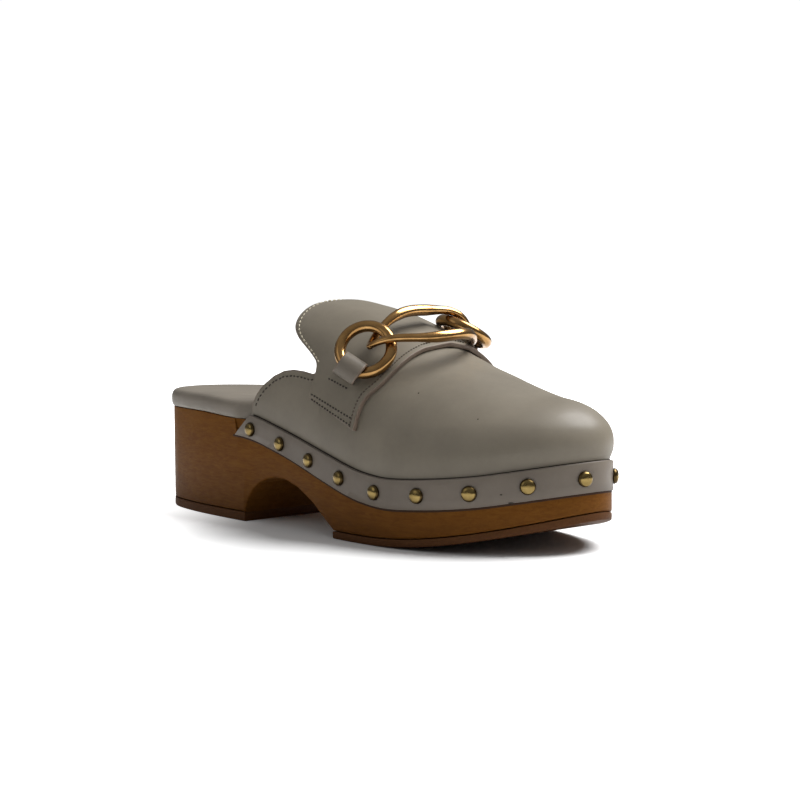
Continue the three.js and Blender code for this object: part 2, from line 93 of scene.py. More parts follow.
# Sizes of what only this scene shows: rounded edges, the pad's crown, how far the leather swells past
# the plain last over the vamp, at the toe's top and front and at the tongue's rear edge, how square the
# cut edges are, how the link's wire varies, and how far the stitches lie from an edge.
WOOD_EDGE, WOOD_TOP_EDGE, WOOD_GROOVE = 0.9, 0.35, 1.3
OUTSOLE_EDGE, HEEL_TIP_EDGE, RUBBER_TOP_EDGE = 0.7, 0.6, 0.3
PAD_CROWN = 0.9
RAND_BEAD = 0.45
VAMP_FULLNESS, TOE_FULLNESS, TOE_BULGE = 0.6, 1.1, 1.8
TONGUE_FLARE = 2.6
TOE_ROUNDS = 260
EDGE_SQUARENESS = 0.45
TIP_TAPER, BAR_BOLDNESS = 0.28, 0.32
STITCH_INSET, COLLAR_STITCH_INSET = 2.3, 2.1

# Plan of the sole: share of the length, then lateral and medial half widths as shares of HALF_BALL.
PLAN = np.array([
    [0, 0, 0], [0.01, 0.24, 0.235], [0.03, 0.41, 0.41], [0.06, 0.545, 0.555], [0.1, 0.645, 0.655],
    [0.18, 0.745, 0.725], [0.28, 0.81, 0.685], [0.38, 0.847, 0.64], [0.48, 0.889, 0.705],
    [0.58, 0.957, 0.866], [0.672, 1, 0.985], [0.76, 0.99, 0.965], [0.848, 0.87, 0.85],
    [0.924, 0.6, 0.69], [0.98, 0.235, 0.43], [1, -0.12, 0.12],
])
LAST_ROW = len(PLAN) - 1

# Top edge of the wood: share of the length, then shares of the way to the heel's and the toe's height.
TOP = np.array([
    [0, 1, 0], [0.19, 0.98, 0], [0.28, 0.925, 0], [0.34, 0.885, 0], [0.38, 0.82, 0],
    [0.43, 0.695, 0], [0.48, 0.565, 0], [0.53, 0.433, 0], [0.58, 0.3, 0], [0.63, 0.163, 0],
    [0.675, 0.06, 0], [0.73, 0, 0], [0.8, 0, 0.085], [0.88, 0, 0.317], [0.94, 0, 0.634], [1, 0, 1],
])

# Sections of the last: share of the length, ridge height, side shift, fullness and swell.
SECTIONS = np.array([
    [0.3, 1.04, 0.04, 2, 0.045], [0.4, 1.062, 0.05, 2, 0.045], [0.45, 1.07, 0.055, 2, 0.045],
    [0.49, 1.064, 0.06, 2, 0.045], [0.54, 1.038, 0.08, 2, 0.045], [0.58, 1.003, 0.1, 2, 0.045],
    [0.62, 0.955, 0.115, 2.05, 0.045], [0.65, 0.91, 0.125, 2.08, 0.045], [0.69, 0.856, 0.13, 2.1, 0.045],
    [0.77, 0.77, 0.14, 2.15, 0.045], [0.83, 0.722, 0.14, 2.2, 0.055], [0.89, 0.657, 0.14, 2.35, 0.075],
])

# Underside between heel and forefoot: share of the way, then share of the arch's rise.
ARCH = np.array([
    [0, 0], [0.035, 0.34], [0.09, 0.58], [0.17, 0.8], [0.26, 0.935], [0.36, 1], [0.47, 0.975],
    [0.61, 0.83], [0.78, 0.525], [1, -0.04],
])

# The upper's edge in side view: share of the length past COLLAR_START, and share of INSTEP_HEIGHT.
COLLAR = np.array([
    [0, 0.593], [0.012, 0.645], [0.028, 0.69], [0.052, 0.736], [0.076, 0.762], [0.1, 0.77],
    [0.128, 0.765], [0.152, 0.755], [0.172, 0.767], [0.192, 0.86], [0.204, 1.28],
])

# The saddle's edges in side view, as shares of the length and of INSTEP_HEIGHT, from the top down.
SADDLE_REAR = np.array([
    [0.415, 1.28], [0.417, 1.093], [0.422, 1.052], [0.429, 1.009], [0.44, 0.966], [0.463, 0.919],
    [0.495, 0.872], [0.53, 0.81], [0.532, 0.75], [0.532, 0.655],
])
SADDLE_FRONT = np.array([
    [0.676, 1.28], [0.678, 0.87], [0.68, 0.793], [0.676, 0.733], [0.661, 0.68], [0.657, 0.641],
    [0.656, 0.586], [0.656, 0.522],
])

# Rings as in the solids: the centre's spot, the way each faces, the way to its keeper, the keeper's slot.
RINGS = {
    "lateral": {
        "centre": [0.6367, -0.7303, 0.8850], "faces": [0.516, -0.707, 0.484],
        "keeper": [-0.2, -0.655, -0.73], "slot": [0.5980, -0.7581, 0.7779],
    },
    "medial": {
        "centre": [0.6326, 0.5693, 0.9529], "faces": [0.145, 0.457, 0.878],
        "keeper": [-0.6, 0.7, -0.27], "slot": [0.6040, 0.7302, 0.8140],
    },
}

# The link's tips as spots with their tilts, then its tilt along the middle, its lean and its pinch.
LINK_NEAR = ([0.6457, -0.7154, 0.9022], -23.4)
LINK_FAR = ([0.6459, 0.5669, 0.9536], 88.5)
LINK_TILT, LINK_LEAN, LINK_PINCH = 20.4, 50.1, 1.254


def smooth(low, high, value):
    t = np.clip((value - low) / (high - low), 0, 1)
    return t * t * (3 - 2 * t)


def mix(a, b, t):
    return a + (b - a) * t


# A smooth curve through one column of a table, as a function of x.
def along(rows, column):
    xs = rows[:, 0] * SOLE_LENGTH
    ys = rows[:, column]
    slopes = np.gradient(ys, xs, edge_order=1)
    slopes[1:-1] = (ys[2:] - ys[:-2]) / (xs[2:] - xs[:-2])

    def value(x):
        held = np.clip(x, xs[0], xs[-1])
        i = np.clip(np.searchsorted(xs, held, side="left") - 1, 0, len(xs) - 2)
        step = xs[i + 1] - xs[i]
        t = (held - xs[i]) / step
        start = ys[i] * (2 * t**3 - 3 * t**2 + 1) + slopes[i] * step * (t**3 - 2 * t**2 + t)
        end = ys[i + 1] * (3 * t**2 - 2 * t**3) + slopes[i + 1] * step * (t**3 - t**2)
        return start + end

    return value


to_heel = along(TOP, 1)
to_toe = along(TOP, 2)
ridge_share = along(SECTIONS, 1)
ridge_side = along(SECTIONS, 2)
fullness = along(SECTIONS, 3)
swell_share = along(SECTIONS, 4)


def wood_top(x):
    return BALL_HEIGHT + (HEEL_HEIGHT - BALL_HEIGHT) * to_heel(x) + (TOE_HEIGHT - BALL_HEIGHT) * to_toe(x)


def rand_head(x):
    return wood_top(x) + RAND_ABOVE


def rand_foot(x):
    return wood_top(x) - mix(RAND_REAR_BELOW, RAND_BELOW, smooth(RAND_NARROW_END, RAND_FULL_START, x))


def spring(x):
    past = np.clip(x - SPRING_START, 0, None)
    return SPRING_RADIUS - np.sqrt(SPRING_RADIUS**2 - past**2)


# The plan as one closed curve. q counts rows from the toe's tip and is negative on the lateral side.
def row_points(index):
    wrapped = (index + LAST_ROW) % (2 * LAST_ROW) - LAST_ROW
    row = PLAN[LAST_ROW - np.abs(wrapped)]
    y = np.where(wrapped < 0, -row[..., 1], row[..., 2])
    return np.stack([row[..., 0] * SOLE_LENGTH, y * HALF_BALL], -1)


def plan_point(q):
    q = np.asarray(q, float)
    i = np.floor(q).astype(int)
    a, b, c, d = [row_points(i + k) for k in (-1, 0, 1, 2)]
    t = (q - i)[..., None]
    v0 = (c - a) / 2
    v1 = (d - b) / 2
    return (2 * b - 2 * c + v0 + v1) * t**3 + (-3 * b + 3 * c - 2 * v0 - v1) * t**2 + v0 * t + b


def plan_normal(q):
    small = 0.01
    tangent = plan_point(np.asarray(q) + small) - plan_point(np.asarray(q) - small)
    tangent /= np.linalg.norm(tangent, axis=-1, keepdims=True)
    return np.stack([tangent[..., 1], -tangent[..., 0]], -1)


def inset_point(q, inset):
    return plan_point(q) - plan_normal(q) * np.asarray(inset)[..., None]


FINE_Q = np.linspace(0, LAST_ROW, 6001)
FINE_X = plan_point(FINE_Q)[:, 0]


# The q at which one side of the plan passes x.
def row_at(x, side):
    return side * np.interp(-np.asarray(x, float), -FINE_X, FINE_Q)


def ridge_at(q):
    x = np.minimum(plan_point(q)[..., 0], SOLE_LENGTH)
    left = np.clip((SOLE_LENGTH - x) / (SOLE_LENGTH - RIDGE_BEND), 0, 1)
    pace = (SOLE_LENGTH - RIDGE_BEND) / (RIDGE_END - RIDGE_BEND)
    return np.where(x <= RIDGE_BEND, x, mix(RIDGE_END, RIDGE_BEND, left**pace))


def last_point(q, u):
    q, u = np.broadcast_arrays(np.asarray(q, float), np.asarray(u, float))
    foot = inset_point(q, np.full(q.shape, UPPER_INSET))
    normal = plan_normal(q)
    ridge = ridge_at(q)
    angle = u * np.pi / 2
    power = 2 / fullness(ridge)
    inward = 1 - np.clip(np.cos(angle), 0, 1) ** power
    swell = swell_share(ridge) * HALF_BALL * np.sin(2 * angle) * np.cos(angle)
    x = mix(foot[..., 0], ridge, inward) + normal[..., 0] * swell
    y = mix(foot[..., 1], ridge_side(ridge) * HALF_BALL, inward) + normal[..., 1] * swell
    base = rand_head(plan_point(q)[..., 0])
    z = mix(base, INSTEP_HEIGHT * ridge_share(x), np.clip(np.sin(angle), 0, 1) ** power)
    return np.stack([x, y, z], -1)


def last_normal(q, u):
    q, u = np.broadcast_arrays(np.asarray(q, float), np.asarray(u, float))
    small = 0.004
    low = np.clip(u, 0.02, 0.985)
    forward = last_point(q + small, low) - last_point(q - small, low)
    upward = last_point(q, low + small) - last_point(q, low - small)
    side = np.cross(forward, upward)
    side /= np.linalg.norm(side, axis=-1, keepdims=True)
    x = ridge_at(q)
    fall = INSTEP_HEIGHT * (ridge_share(x - 1) - ridge_share(x + 1))
    top = np.stack([fall, np.zeros_like(fall), np.full_like(fall, 2)], -1)
    top /= np.linalg.norm(top, axis=-1, keepdims=True)
    return np.where((u >= 1)[..., None], top, side)


def grown_point(q, u, offset, lift=0):
    q, u = np.broadcast_arrays(np.asarray(q, float), np.asarray(u, float))
    out = offset + lift * np.sin(u * np.pi / 2) ** 4
    return last_point(q, u) + last_normal(q, u) * out[..., None]


# The u at which a section reaches a height.
def u_at(q, height, offset=0, lift=0):
    low = np.zeros(np.shape(q))
    high = np.ones(np.shape(q))
    for _ in range(26):
        middle = (low + high) / 2
        below = grown_point(q, middle, offset, lift)[..., 2] < height
        low = np.where(below, middle, low)
        high = np.where(below, high, middle)
    return (low + high) / 2


# The place on the grown last that side view shows at x and z.
def on_last(x, z, side, offset=0, lift=0):
    x, z = np.broadcast_arrays(np.asarray(x, float), np.asarray(z, float))
    aim = x.copy()
    for _ in range(12):
        q = row_at(aim, side)
        u = u_at(q, z, offset, lift)
        aim = aim + (x - grown_point(q, u, offset, lift)[..., 0]) * 0.8
    return q, u


# Where the making frame lies in the row's frame
coarse = plan_point(np.arange(-3 * LAST_ROW, 3 * LAST_ROW + 1) / 3)
low_corner = np.array(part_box("wood_sole")[0]) * 1000
shift = np.array([low_corner[0] - coarse[:, 0].min(), low_corner[1] - coarse[:, 1].min(), 0])


def metres(points):
    return (np.asarray(points, float) + shift) / 1000


# Meshes
# The last of the faces, as many as rim says, take the piece's second material.
def add_mesh(name, points, faces, node_names=(), slot=None, smooth_angle=40, rim=0):
    mesh = bpy.data.meshes.new(name)
    mesh.from_pydata([tuple(p) for p in metres(points)], [], [tuple(int(i) for i in f) for f in faces])
    for polygon in mesh.polygons[len(mesh.polygons) - rim:] if rim else ():
        polygon.material_index = 1
    mesh.validate()
    piece = bpy.data.objects.new(name, mesh)
    bpy.context.scene.collection.objects.link(piece)
    mesh.shade_smooth()
    if smooth_angle < 180:
        mesh.set_sharp_from_angle(angle=np.radians(smooth_angle))
    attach(piece, "root")
    if node_names:
        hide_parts(*node_names)
    return piece


def grid_faces(rows, columns, closed_rows=False, closed_columns=False):
    i = np.arange(rows if closed_rows else rows - 1)
    j = np.arange(columns if closed_columns else columns - 1)
    i, j = [a.ravel() for a in np.meshgrid(i, j, indexing="ij")]
    ni, nj = (i + 1) % rows, (j + 1) % columns
    return np.stack([i * columns + j, i * columns + nj, ni * columns + nj, ni * columns + j], -1)


# Joins grids, drops doubled points and empty faces.
def join(parts, near=1e-4):
    points, faces, start = [], [], 0
    for p, f in parts:
        p = np.asarray(p).reshape(-1, 3)
        points.append(p)
        faces.extend([[int(v) + start for v in face] for face in f])
        start += len(p)
    points = np.concatenate(points)
    cells = np.round(points / near)
    _, first, inverse = np.unique(cells, axis=0, return_index=True, return_inverse=True)
    inverse = inverse.ravel()
    kept = []
    for face in faces:
        merged = [inverse[i] for i in face]
        tidy = [v for k, v in enumerate(merged) if v != merged[k - 1]]
        if len(set(tidy)) == len(tidy) > 2:
            kept.append(tidy)
    return points[first], kept


def vertex_normals(points, faces):
    fans = [(face[0], face[k], face[k + 1]) for face in faces for k in range(1, len(face) - 1)]
    fans = np.array(fans)
    a, b, c = (points[fans[:, k]] for k in range(3))
    areas = np.cross(b - a, c - a)
    normals = np.zeros_like(points)
    for k in range(3):
        np.add.at(normals, fans[:, k], areas)
    return normals / np.maximum(np.linalg.norm(normals, axis=1, keepdims=True), 1e-12)


# A sheet of faces given a thickness on its inner side, with a rounded edge all round.
def thicken(points, faces, thickness, rounding=1.0, edge_steps=7):
    normals = vertex_normals(points, faces)
    edges = {}
    for face in faces:
        for a, b in zip(face, face[1:] + face[:1]):
            edges[(a, b)] = True
    border = [(a, b) for a, b in edges if (b, a) not in edges]
    outward = np.zeros_like(points)
    for a, b in border:
        along_edge = points[b] - points[a]
        for v in (a, b):
            outward[v] += np.cross(along_edge, normals[v])
    outward /= np.maximum(np.linalg.norm(outward, axis=1, keepdims=True), 1e-12)
    count = len(points)
    rows = [points, points - normals * thickness]
    made = [list(f) for f in faces] + [[v + count for v in reversed(f)] for f in faces]
    rim = sorted({v for edge in border for v in edge})
    place = {v: k for k, v in enumerate(rim)}
    start = 2 * count
    for step in range(1, edge_steps):
        angle = np.pi * step / edge_steps
        turned = np.sign(np.cos(angle)) * np.abs(np.cos(angle)) ** EDGE_SQUARENESS
        inward = (1 - turned) / 2 * thickness
        bulge = np.sin(angle) ** EDGE_SQUARENESS * rounding * thickness / 2
        rows.append(points[rim] - normals[rim] * inward + outward[rim] * bulge)

    def index(v, step):
        if step == 0:
            return v
        if step == edge_steps:
            return v + count
        return start + (step - 1) * len(rim) + place[v]

    for a, b in border:
        for step in range(edge_steps):
            made.append([index(b, step), index(a, step), index(a, step + 1), index(b, step + 1)])
    return np.concatenate(rows), made, len(border) * edge_steps


# Moves points towards their neighbours' middle, as far as each one's weight says.
def relax(points, faces, weight, rounds):
    ends = np.array([(face[k - 1], face[k]) for face in faces for k in range(len(face))])
    ends = np.concatenate([ends, ends[:, ::-1]])
    count = np.bincount(ends[:, 0], minlength=len(points))[:, None]
    for _ in range(rounds):
        total = np.zeros_like(points)
        np.add.at(total, ends[:, 0], points[ends[:, 1]])
        points = mix(points, total / np.maximum(count, 1), 0.5 * weight[:, None])
    return points


# A closed tube round a centre-line. The section's two half sizes lie along a and b; a higher power
# gives it flatter faces.
def tube(line, a, b, half_a, half_b, power=2.0, sides=24):
    angle = np.linspace(0, 2 * np.pi, sides, endpoint=False)
    shape = (np.abs(np.cos(angle)) ** power + np.abs(np.sin(angle)) ** power) ** (-1 / power)
    x = (np.cos(angle) * shape)[None, :, None] * np.reshape(half_a, (-1, 1, 1))
    y = (np.sin(angle) * shape)[None, :, None] * np.reshape(half_b, (-1, 1, 1))
    points = line[:, None] + a[:, None] * x + b[:, None] * y
    return points, grid_faces(len(line), sides, closed_rows=True, closed_columns=True)


def unit(v):
    v = np.asarray(v, float)
    return v / np.linalg.norm(v, axis=-1, keepdims=True)


# A closed solid of plan outlines, one above the other, capped by strips across the shoe. q lists one
# side's stations from the toe to the heel.
def stack(layers, q):
    stations = np.concatenate([-q[::-1], q[1:-1]])
    rings = []
    for inset, height in layers:
        x = plan_point(stations)[:, 0]
        flat = inset_point(stations, inset(x) if callable(inset) else np.full(len(x), float(inset)))
        rings.append(np.column_stack([flat, height(x) if callable(height) else np.full(len(x), height)]))
    count = len(stations)
    faces = grid_faces(len(rings), count, closed_columns=True).tolist()
    top = (len(rings) - 1) * count
    for i in range(count // 2):
        a, b, c, d = i, i + 1, (2 * count - i - 1) % count, (count - i) % count
        faces.append([a, d, c, b])
        faces.append([top + a, top + b, top + c, top + d])
    return join([(np.concatenate(rings), faces)])


PER_ROW = 14
STATIONS = np.arange(LAST_ROW * PER_ROW + 1) / PER_ROW


def with_places(stations, xs):
    return np.unique(np.concatenate([stations, row_at(np.asarray(xs, float), 1)]))


def rounded(inset, height, radius, up, count=4):
    layers = []
    for k in range(count + 1):
        angle = np.pi / 2 * k / count
        inward = radius * (1 - np.cos(angle)) if up else radius * (1 - np.sin(angle))
        rise = radius * (np.sin(angle) - 1) if up else radius * (1 - np.cos(angle))
        layers.append((lambda x, i=inward: inset(x) + i, lambda x, r=rise: height(x) + r))
    return layers


# Sole
def under(x):
    share = (x - BREAST) / (FOREFOOT - BREAST)
    arch = mix(HEEL_TIP, ARCH_HEIGHT, np.interp(share, ARCH[:, 0], ARCH[:, 1]))
    front = OUTSOLE + CLEARANCE + spring(x)
    low = np.where(x < BREAST, HEEL_TIP + CLEARANCE, np.where(x > FOREFOOT, front, np.maximum(arch, front)))
    return low


def wood_piece():
    breast = [BREAST, BREAST + 0.05, *(BREAST + ARCH[1:, 0] * (FOREFOOT - BREAST))]
    stations = with_places(STATIONS, breast)
    in_rand = lambda x: smooth(RAND_REAR - 0.6, RAND_REAR, x)
    seat = lambda x: mix(wood_top(x), rand_foot(x) - CLEARANCE, in_rand(x))
    layers = rounded(flush, under, WOOD_EDGE, up=False)
    layers += [(0.0, lambda x: mix(under(x), seat(x), 0.5))]
    layers += rounded(flush, seat, WOOD_TOP_EDGE, up=True, count=3)
    layers += [(lambda x: WOOD_GROOVE * in_rand(x) + 0.4, seat)]
    layers += [(lambda x: WOOD_GROOVE * in_rand(x) + 0.4, wood_top)]
    return add_mesh("sole_wood", *stack(layers, stations), ["wood_sole"], "wood")


# A closed solid under part of the sole, from plan outlines that start and end on one straight cut.
def slab(layers, stations):
    x = plan_point(stations)[:, 0]
    rings = [np.column_stack([inset_point(stations, inset(x)), height(x)]) for inset, height in layers]
    count = len(stations)
    faces = grid_faces(len(rings), count, closed_columns=True).tolist()
    top = (len(rings) - 1) * count
    for i in range((count - 1) // 2):
        a, b, c, d = i, i + 1, count - 2 - i, count - 1 - i
        faces.append([a, d, c, b])
        faces.append([top + a, top + b, top + c, top + d])
    return join([(np.concatenate(rings), faces)])


def flush(x):
    return 0 * x


def outsole_piece():
    q = STATIONS[STATIONS <= row_at(FOREFOOT, 1)]
    q = np.append(q, row_at(FOREFOOT, 1))
    layers = rounded(flush, spring, OUTSOLE_EDGE, up=False)
    layers += rounded(flush, lambda x: spring(x) + OUTSOLE, RUBBER_TOP_EDGE, up=True, count=2)
    both = np.concatenate([-q[::-1], q[1:]])
    return add_mesh("outsole_rubber", *slab(layers, both), ["outsole"], "rubber")


def heel_tip_piece():
    q = np.concatenate([[row_at(BREAST, 1)], STATIONS[STATIONS > row_at(BREAST, 1)]])
    layers = rounded(flush, flush, HEEL_TIP_EDGE, up=False)
    layers += rounded(flush, lambda x: HEEL_TIP + 0 * x, RUBBER_TOP_EDGE, up=True, count=2)
    both = np.concatenate([q, -q[:-1][::-1]])
    return add_mesh("heel_rubber", *slab(layers, both), ["heel_tip"], "rubber")


def insole_piece():
    in_upper = lambda x: smooth(RAND_REAR, COLLAR_START - 4, x)
    inset = lambda x: mix(-PAD_OVERHANG, REBATE_INSET + CLEARANCE, in_upper(x))
    rear = PAD_THICKNESS + PAD_CROWN
    thickness = lambda x: mix(rear, PAD_FOREFOOT, smooth(COLLAR_START, SPRING_START, x))
    base = lambda x: wood_top(x) + CLEARANCE
    layers = []
    profile = [
        (0.9, 0), (0.35, 0.06), (0.08, 0.18), (0, 0.34), (0, 0.5), (0.12, 0.63), (0.45, 0.76), (1.0, 0.86),
        (1.8, 0.93), (2.9, 0.97), (4.5, 0.99), (8, 1), (12, 1), (17, 1),
    ]
    for inward, share in profile:
        layers.append((
            lambda x, i=inward: inset(x) + i,
            lambda x, s=share: base(x) + thickness(x) * s,
        ))
    piece = add_mesh("insole_pad", *stack(layers, STATIONS), ["insole"], "leather", 180)
    return piece


# Rand
def rand_piece():
    share = np.linspace(0, 1, 421)
    foot_end = row_at(RAND_REAR, 1)
    head_end = row_at(RAND_REAR + RAND_SLANT, 1)
    profile = []
    for k in range(7):
        angle = np.pi * k / 6
        inset = -RAND_PROUD + RAND_THICKNESS / 2 * (1 - np.cos(angle))
        profile.append((inset, 1, np.sin(angle) * RAND_BEAD))
    for k in range(5):
        angle = np.pi * k / 4
        profile.append((RAND_INSET - RAND_THICKNESS / 2 * (1 - np.cos(angle)), 0, -np.sin(angle) * 0.25))
    profile.append((-RAND_PROUD, 0.33, 0))
    profile.append((-RAND_PROUD, 0.66, 0))
    rings = []
    for inset, height, extra in profile:
        q = mix(-1, 1, share) * mix(foot_end, head_end, height)
        x = plan_point(q)[:, 0]
        z = mix(rand_foot(x), rand_head(x), height) + extra
        rings.append(np.column_stack([inset_point(q, np.full(len(q), inset)), z]))
    rings = np.stack(rings, 1)
    rows, columns = rings.shape[:2]
    faces = grid_faces(rows, columns, closed_columns=True).tolist()
    faces.append(list(range(columns))[::-1])
    faces.append([(rows - 1) * columns + k for k in range(columns)])
    return add_mesh("rand_strip", *join([(rings, faces)]), ["rand"], "leather", 50)


# Upper
def upper_piece():
    parts = []
    rows = 46
    crest = COLLAR_START + COLLAR[-1, 0] * SOLE_LENGTH
    collar_x = COLLAR_START + COLLAR[:, 0] * SOLE_LENGTH
    for side in (-1, 1):
        rear = row_at(COLLAR_START, 1)
        front = STATIONS[STATIONS < rear]
        joint = row_at(crest, 1)
        q = np.unique(np.concatenate([front, [rear, joint], np.linspace(joint, rear, 60)]))
        x = plan_point(side * q)[:, 0]
        height = np.interp(x, collar_x, COLLAR[:, 1] * INSTEP_HEIGHT)
        top = np.where(x >= crest - 1e-6, 1, u_at(side * q, height))
        u = top[:, None] * np.linspace(0, 1, rows)[None, :] ** 0.9
        surface = last_point(side * q[:, None], u)
        foot = surface[:, :1].copy()
        foot[..., 2] -= RAND_ABOVE + 3
        surface = np.concatenate([foot, surface], 1)
        faces = grid_faces(*surface.shape[:2])
        if side > 0:
            faces = faces[:, ::-1]
        parts.append((surface, faces))
    points, faces = join(parts, 1e-3)
    high = smooth(BALL_HEIGHT + 14, BALL_HEIGHT + 24, points[:, 2])
    toe = smooth(178, 196, points[:, 0]) * high
    points = relax(points, faces, toe, TOE_ROUNDS)
    full = VAMP_FULLNESS * smooth(150, 175, points[:, 0]) * high + TOE_FULLNESS * toe
    low = smooth(33, 43, points[:, 2]) * (1 - 0.7 * smooth(46, 64, points[:, 2]))
    full += TOE_BULGE * smooth(198, 246, points[:, 0]) * low
    points += vertex_normals(points, faces) * full[:, None]
    points, faces, rim = thicken(points, faces, UPPER_THICKNESS, 0.7)
    return add_mesh("upper_shell", points, faces, ["upper"], "leather", 60, rim)


# Saddle
# A run of values with its corners rounded over some places to each side; the ends stay.
def eased(values, reach):
    steps = np.arange(len(values))
    near = np.minimum(reach, np.minimum(steps, len(values) - 1 - steps))
    return np.array([values[k - n:k + n + 1].mean() for k, n in zip(steps, near)])


# One side of the saddle's outer surface: rows from the crest down, columns from the rear edge forward.
def saddle_sheet(side, rows=60, columns=90):
    edges = []
    for table in (SADDLE_REAR, SADDLE_FRONT):
        lengths = np.hypot(*(np.diff(table, axis=0) * [SOLE_LENGTH, INSTEP_HEIGHT]).T)
        length = np.concatenate([[0], np.cumsum(lengths)])
        share = np.linspace(0, 1, rows)
        x = np.interp(share * length[-1], length, table[:, 0] * SOLE_LENGTH)
        z = np.interp(share * length[-1], length, table[:, 1] * INSTEP_HEIGHT)
        crest = INSTEP_HEIGHT * ridge_share(x) + SADDLE_OUTSIDE + SADDLE_LIFT
        first = length[-1] * share[np.argmax(z < crest)]
        along_edge = np.linspace(first, length[-1], rows)
        x = eased(np.interp(along_edge, length, table[:, 0] * SOLE_LENGTH), rows // 14)
        z = eased(np.interp(along_edge, length, table[:, 1] * INSTEP_HEIGHT), rows // 14)
        q, u = on_last(x, z, side, SADDLE_OUTSIDE, SADDLE_LIFT)
        aim = x[:1]
        for _ in range(12):
            crest_row = row_at(aim, side)
            aim = aim + x[:1] - grown_point(crest_row, np.ones(1), SADDLE_OUTSIDE, SADDLE_LIFT)[:, 0]
        q[0], u[0] = crest_row[0], 1
        edges.append((q, u))
    w = np.linspace(0, 1, columns)[None, :]
    q = mix(edges[0][0][:, None], edges[1][0][:, None], w)
    u = mix(edges[0][1][:, None], edges[1][1][:, None], w)
    points = grown_point(q, u, SADDLE_OUTSIDE, SADDLE_LIFT)
    flare = smooth(0.83 * INSTEP_HEIGHT, 0.97 * INSTEP_HEIGHT, points[..., 2]) * (1 - smooth(0, 0.55, w))
    points += last_normal(q, u) * (TONGUE_FLARE * flare * (1 - 0.75 * smooth(0.62, 1, u)))[..., None]
    points[..., 0] -= 0.6 * TONGUE_FLARE * flare
    return points


def saddle_piece():
    parts = []
    for side in (-1, 1):
        surface = saddle_sheet(side)
        faces = grid_faces(*surface.shape[:2])
        parts.append((surface, faces[:, ::-1] if side < 0 else faces))
    points, faces = join(parts, 1e-3)
    points, faces, rim = thicken(points, faces, SADDLE_THICKNESS, 0.4)
    return add_mesh("saddle_leather", points, faces, ["saddle"], "leather", 60, rim)


# Rings, keepers and link
def spot(shares):
    return np.array(shares) * [SOLE_LENGTH, HALF_BALL, INSTEP_HEIGHT]


def ring_piece(side):
    facing = unit(RINGS[side]["faces"])
    a = unit(np.cross(facing, [0.3, 0.2, 1.0]))
    b = np.cross(facing, a)
    turn = np.linspace(0, 2 * np.pi, 120, endpoint=False)[:, None]
    out = np.cos(turn) * a + np.sin(turn) * b
    line = spot(RINGS[side]["centre"]) + RING_RADIUS * out
    half = RING_WIRE / 2 * 1.06
    points, faces = tube(line, out, np.repeat(facing[None], len(line), 0), half, half, 2.15, 32)
    nodes = [f"ring_{side}"]
    return add_mesh(f"ring_wire_{side}", *join([(points, faces)]), nodes, "ornament_metal", 180)


def keeper_piece(side):
    facing = unit(RINGS[side]["faces"])
    out = np.array(RINGS[side]["keeper"])
    out = unit(out - facing * (out @ facing))
    wire = spot(RINGS[side]["centre"]) + out * (RING_RADIUS - 0.4)
    back = wire - spot(RINGS[side]["slot"])
    leg = np.linalg.norm(back) + 4
    back = unit(back)
    along_wire = np.cross(facing, out)
    over = unit(np.cross(back, along_wire))
    reach = RING_WIRE / 2 + KEEPER_THICKNESS + 0.2
    turn = np.linspace(np.pi, 0, 25)
    arc = np.column_stack([np.cos(turn) * reach, np.sin(turn) * reach])
    low = np.linspace(-leg, 0, 12, endpoint=False)
    wide = mix(KEEPER_THICKNESS + 0.15, reach, 1 + low / leg)
    path = np.concatenate([np.column_stack([-wide, low]), arc, np.column_stack([wide, low])[::-1]])
    across = np.linspace(-KEEPER_WIDTH / 2, KEEPER_WIDTH / 2, 20)
    sheet = (wire + path[:, None, :1] * over + path[:, None, 1:] * back)
    sheet = sheet + across[None, :, None] * along_wire
    faces = grid_faces(*sheet.shape[:2])
    centre = sheet.reshape(-1, 3).mean(0)
    corner = sheet[18:20, 9:11].reshape(-1, 3)
    if np.cross(corner[1] - corner[0], corner[2] - corner[0]) @ (corner[0] - centre) > 0:
        faces = faces[:, ::-1]
    points, faces, rim = thicken(*join([(sheet, faces)]), KEEPER_THICKNESS, 0.7)
    # A thin dark tube along each keeper's foot, where it goes into the saddle: painted shade.
    across = np.linspace(-0.5, 0.5, 13)[:, None] * KEEPER_WIDTH
    line = spot(RINGS[side]["slot"]) + over * (KEEPER_THICKNESS + 0.35) + across * along_wire
    ends = np.concatenate([line, line[::-1] - over * 0.1])
    slot_shade = tube(ends, np.repeat(over[None], 26, 0), np.repeat(back[None], 26, 0), 0.4, 0.7, 2.0, 8)
    add_mesh(f"keeper_slot_shade_{side}", *join([slot_shade])).data.materials.append(dark_thread_and_shade)
    return add_mesh(f"keeper_strap_{side}", points, faces, [f"keeper_{side}"], "leather", 60, rim)


def link_line(turn):
    near, far = spot(LINK_NEAR[0]), spot(LINK_FAR[0])
    half = np.linalg.norm(far - near) / 2
    axis = unit(far - near)
    lengthwise, broad = np.cos(turn)[:, None], np.sin(turn)[:, None]
    tip = np.where(lengthwise < 0, LINK_NEAR[1], LINK_FAR[1])
    tilt = np.radians(mix(LINK_TILT, tip, np.abs(lengthwise) ** 3))
    front = np.concatenate([np.cos(tilt), 0 * tilt, -np.sin(tilt)], -1)
    front = unit(front - (front @ axis)[:, None] * axis)
    lean = np.radians(LINK_LEAN)
    up = np.array([np.sin(lean), 0, np.cos(lean)])
    up = unit(up - (up @ axis) * axis)
    forward = np.sign(broad) * np.abs(broad) ** LINK_PINCH * LINK_WIDTH / 2
    flat = (near + far) / 2 + axis * lengthwise * half + front * forward
    return flat + up * LINK_BOW * (1 - lengthwise**2)


